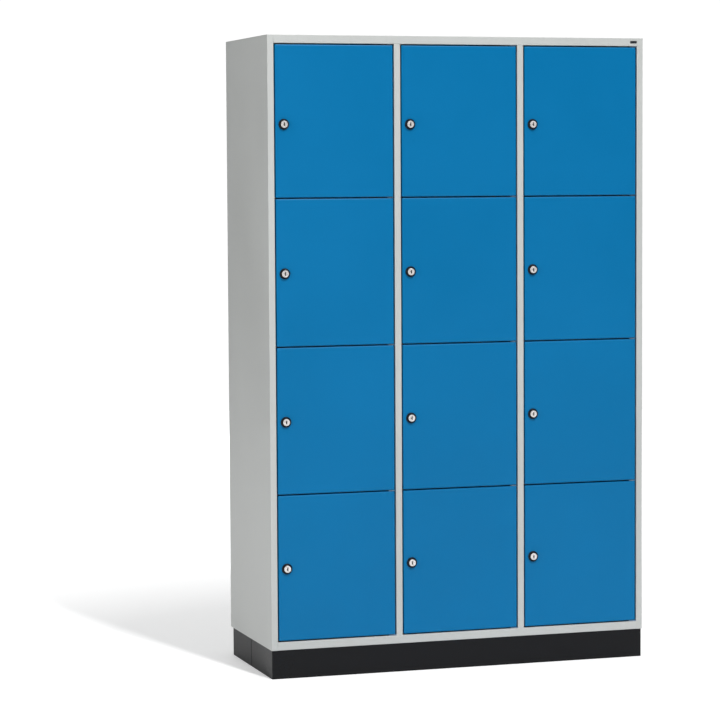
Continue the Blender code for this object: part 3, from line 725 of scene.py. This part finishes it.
def rib_mesh(height):
    """A hat section of thin sheet that stiffens a door, from the door's foot and middle."""
    half = RIB_FACE / 2
    foot_in = half + RIB_SLOPE
    foot_out = foot_in + RIB_FOOT
    path = rounded([(-foot_out, 0), (-foot_in, 0), (-half, RIB_HEIGHT), (half, RIB_HEIGHT),
                    (foot_in, 0), (foot_out, 0)],
                   [0, RIB_FOLD, RIB_FOLD, RIB_FOLD, RIB_FOLD, 0])
    shape = bmesh.new()
    corners = [shape.verts.new((x, y, RIB_END_GAP)) for x, y in path]
    line = [shape.edges.new(pair) for pair in zip(corners, corners[1:])]
    made = bmesh.ops.extrude_edge_only(shape, edges=line)["geom"]
    top = [item for item in made if isinstance(item, bmesh.types.BMVert)]
    bmesh.ops.translate(shape, vec=(0, 0, height - 2 * RIB_END_GAP), verts=top)
    bmesh.ops.recalc_face_normals(shape, faces=shape.faces)
    if sum(face.normal.y for face in shape.faces) < 0:
        bmesh.ops.reverse_faces(shape, faces=shape.faces)
    return shaded(finished(mesh_of(shape, "rib"), thickness=RIB_SHEET))


def fit_doors():
    """Two washers on each door's hinge pins, and the rib on the back of its sheet."""
    for place in LOCKS:
        door = f"door_{place}"
        low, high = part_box(door)
        pin = Vector(JOINTS[f"{door}_hinge"]["pos_m"])
        foot, top = Vector((pin.x, pin.y, low.z)), Vector((pin.x, pin.y, high.z))
        put(washer_mesh(False), f"hinge_washer_low_{place}", foot, door, "lock_black", NYLON)
        put(washer_mesh(True), f"hinge_washer_high_{place}", top, door, "lock_black", NYLON)
        seat = ((low.x + high.x + RIB_FACE) / 2, low.y + SHEET + RIB_SHEET + CLEAR, low.z)
        put(rib_mesh(high.z - low.z), f"door_rib_{place}", seat, door, "door_blue")


# ---------------------------------------------------------------- carcass
def buffer_mesh(length):
    """A rubber buffer that faces forward from y = 0, with a foot flange and a domed nose."""
    body, nose = (share * BUFFER_RADIUS for share in BUFFER_TAPER)
    outline = rounded([(0, -length), (nose, -length), (body, -BUFFER_FOOT),
                       (BUFFER_RADIUS, -BUFFER_FOOT), (BUFFER_RADIUS, 0), (0, 0)],
                      [0, BUFFER_NOSE, BUFFER_EDGE, BUFFER_EDGE, 0, 0])
    return shaded(mesh_of(turned(outline, 32, closed=False), "door_buffer"))


def fit_buffers():
    """Two buffers behind each door's upper lip, on the shelf above it."""
    for column in range(1, COLUMNS + 1):
        for row in range(1, ROWS):
            place = f"c{column}_r{row}"
            door_low, door_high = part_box(f"door_{place}")
            shelf_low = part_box(f"shelf_{place}")[0]
            buffer = buffer_mesh(shelf_low.y - door_high.y - 3 * CLEAR)
            for side, share in BUFFER_SHARES:
                x = door_low.x + share * (door_high.x - door_low.x)
                where = (x, shelf_low.y - CLEAR, door_high.z - BUFFER_DROP * BUFFER_RADIUS)
                put(buffer, f"door_buffer_{side}_{place}", where, "carcass", "lock_black", RUBBER)


def rivet_mesh():
    """A blind rivet's low dome with its dimple, facing back."""
    floor, edge = (share * RIVET_PROUD for share in RIVET_HEIGHTS)
    inner, rim = RIVET_DIMPLE
    outline = rounded([(0, floor), (inner, floor), (rim, RIVET_PROUD),
                       (RIVET_RADIUS, edge), (RIVET_RADIUS, 0), (0, 0)],
                      [0, 0, 0, RIVET_EDGE, 0, 0])
    return turned(outline, 20, closed=False)


def rivet_row(start, end, face):
    """Rivets along a line from start to end, which are (x, z), spaced at about one pitch."""
    start, end = Vector(start), Vector(end)
    count = max(2, round((end - start).length / RIVET_PITCH) + 1)
    rivets = []
    for number in range(count):
        x, z = start.lerp(end, number / (count - 1))
        rivets.append(moved(rivet_mesh(), (x, face, z)))
    return rivets


def fit_rivets():
    """The back's rivets: down both side flanges and along the top and bottom ones."""
    low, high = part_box("side_panel_left")
    right = -low.x - FLANGE / 2
    inset = right - FLANGE * 3
    back = high.y + CLEAR
    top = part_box("top_panel")[0].z
    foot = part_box("bottom_panel")[0].z
    rivets = []
    for x in (-right, right):
        rivets += rivet_row((x, foot + RIVET_FROM_FOOT), (x, top - RIVET_FROM_TOP), back)
    for z in (top + FLANGE / 2, foot + FLANGE / 2):
        rivets += rivet_row((-inset, z), (inset, z), back)
    put(shaded(joined(rivets, "back_rivets")), "back_rivets", (0, 0, 0), "carcass", "carcass_grey")


def mullion_span(node):
    """X of a mullion's two edges, a fold's radius in from each."""
    low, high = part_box(node)
    return low.x + BEND, high.x - BEND


def fit_welds():
    """The ground-flush welds that close the seams where the stiles and mullions meet the rails."""
    top_low, top_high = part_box("top_panel")
    foot_low, foot_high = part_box("bottom_panel")
    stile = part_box("side_panel_left")[1].x
    front, depth = top_low.y + CLEAR, WELD_DEPTH
    welds = []
    for x in (stile + SEAM / 2, -stile - SEAM / 2):
        for low, high in ((top_low.z, top_high.z - BEND), (foot_low.z, foot_high.z)):
            welds.append(block((x - SEAM, front, low + CLEAR),
                               (x + SEAM, front + depth, high - CLEAR)))
    for node in ("partition_1", "partition_2"):
        low, high = mullion_span(node)
        for z in (top_low.z - SEAM / 2, foot_high.z + SEAM / 2):
            welds.append(block((low, front, z - SEAM), (high, front + depth, z + SEAM)))
    put(joined(welds, "welds"), "corner_welds", (0, 0, 0), "carcass", "carcass_grey")


def fit_badge():
    """A small blank badge: a raised rim round a shallow field."""
    low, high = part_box("badge")
    half_x, half_z = (high.x - low.x) / 2, (high.z - low.z) / 2
    outline = rounded([(-half_x, -half_z), (half_x, -half_z), (half_x, half_z), (-half_x, half_z)],
                      [BADGE_CORNER] * 4, steps=5)
    body = plate(outline, 0, high.y - low.y, BADGE_EDGE)
    field_x, field_z = half_x - BADGE_RIM, half_z - BADGE_RIM
    field = block((-field_x, -BADGE_RIM, -field_z), (field_x, BADGE_FIELD, field_z))
    mesh = shaded(finished(mesh_of(body, "badge_plate"), tools=[field]))
    front = ((low.x + high.x) / 2, low.y, (low.z + high.z) / 2)
    badge = put(mesh, "badge_plate", front, "carcass", "badge_dark")
    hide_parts("badge")


# ---------------------------------------------------------------- finishes on the frame's own nodes
def finish_frame():
    """Each node in its slot's finish, but all of the plinth, joiners too, in the plinth's."""
    for name, node in frame["nodes"].items():
        for slot in node.material_slots:
            finish = slot.material.name.split(".")[0]
            slot.material = MATERIALS["plinth_charcoal" if name.startswith("plinth_") else finish]


# ---------------------------------------------------------------- floor, light, camera
def lay_floor():
    """A round white floor that glows more towards its rim, and in full for the camera only."""
    shape = bmesh.new()
    bmesh.ops.create_circle(shape, cap_ends=True, segments=96, radius=FLOOR_RADIUS)
    floor = bpy.data.objects.new("studio_floor", mesh_of(shape, "studio_floor"))
    bpy.context.scene.collection.objects.link(floor)
    paper = Recipe("studio_paper", (0.88, 0.88, 0.88), 0.9, specular=0.1)
    paper.set("Emission Color", (1, 1, 1, 1))
    distance = paper.node("ShaderNodeVectorMath", operation="LENGTH")
    paper.link(paper.place, distance.inputs[0])
    glow = paper.spread(distance.outputs["Value"], *FLOOR_GLOW, *FLOOR_GLOW_SPAN)
    path = paper.node("ShaderNodeLightPath")
    seen = paper.spread(path.outputs["Is Camera Ray"], FLOOR_SPILL, 1.0, 0.0, 1.0)
    paper.link(paper.math("MULTIPLY", glow, seen), paper.shader.inputs["Emission Strength"])
    floor.data.materials.append(paper.material)


def hang_light(name, place, target, size, power):
    """A square soft white light that looks from its place to its target."""
    lamp = bpy.data.lights.new(name, "AREA")
    lamp.size = size
    lamp.energy = power
    light = bpy.data.objects.new(name, lamp)
    light.location = place
    light.rotation_euler = (Vector(target) - Vector(place)).to_track_quat("-Z", "Y").to_euler()
    bpy.context.scene.collection.objects.link(light)


def light_world():
    """White behind the object for the camera; for all else, light that comes from overhead."""
    world = bpy.data.worlds.new("studio")
    world.use_nodes = True
    bpy.context.scene.world = world
    nodes, links = world.node_tree.nodes, world.node_tree.links
    seen = nodes.new("ShaderNodeBackground")
    seen.inputs["Color"].default_value = (1, 1, 1, 1)
    seen.inputs["Strength"].default_value = BACKDROP_GLOW
    lit = nodes["Background"]
    lit.inputs["Color"].default_value = ROOM_TINT
    direction = nodes.new("ShaderNodeTexCoord").outputs["Generated"]
    height = nodes.new("ShaderNodeSeparateXYZ")
    strength = nodes.new("ShaderNodeMapRange")
    strength.interpolation_type = "SMOOTHSTEP"
    limits = dict(zip(("From Min", "From Max", "To Min", "To Max"), ROOM_LIGHT_SPAN + ROOM_LIGHT))
    for socket, number in limits.items():
        strength.inputs[socket].default_value = number
    links.new(direction, height.inputs[0])
    links.new(height.outputs["Z"], strength.inputs["Value"])
    links.new(strength.outputs["Result"], lit.inputs["Strength"])
    path = nodes.new("ShaderNodeLightPath")
    mix = nodes.new("ShaderNodeMixShader")
    links.new(path.outputs["Is Camera Ray"], mix.inputs[0])
    links.new(lit.outputs[0], mix.inputs[1])
    links.new(seen.outputs[0], mix.inputs[2])
    links.new(mix.outputs[0], nodes["World Output"].inputs["Surface"])


def set_camera():
    lens = bpy.data.cameras.new("camera")
    lens.lens = CAMERA_LENS
    lens.sensor_width = CAMERA_SENSOR
    lens.clip_end = CAMERA_REACH
    camera = bpy.data.objects.new("camera", lens)
    turn = (Matrix.Rotation(math.radians(CAMERA_YAW), 4, "Z")
            @ Matrix.Rotation(math.radians(90 + CAMERA_PITCH), 4, "X")
            @ Matrix.Rotation(math.radians(CAMERA_ROLL), 4, "Z"))
    camera.matrix_world = Matrix.Translation(CAMERA_PLACE) @ turn
    bpy.context.scene.collection.objects.link(camera)
    bpy.context.scene.camera = camera


bpy.context.scene.view_settings.view_transform = "Standard"
set_camera()
lay_floor()
light_world()
hang_light("key_light", KEY_PLACE, LIGHT_TARGET, KEY_SIZE, KEY_POWER)
hang_light("fill_light", FILL_PLACE, LIGHT_TARGET, FILL_SIZE, FILL_POWER)
hang_light("back_light", BACK_PLACE, LIGHT_TARGET, BACK_SIZE, BACK_POWER)
hang_light("top_light", TOP_PLACE, TOP_TARGET, TOP_SIZE, TOP_POWER)
finish_frame()
fit_locks()
fit_doors()
fit_buffers()
fit_rivets()
fit_welds()
fit_badge()
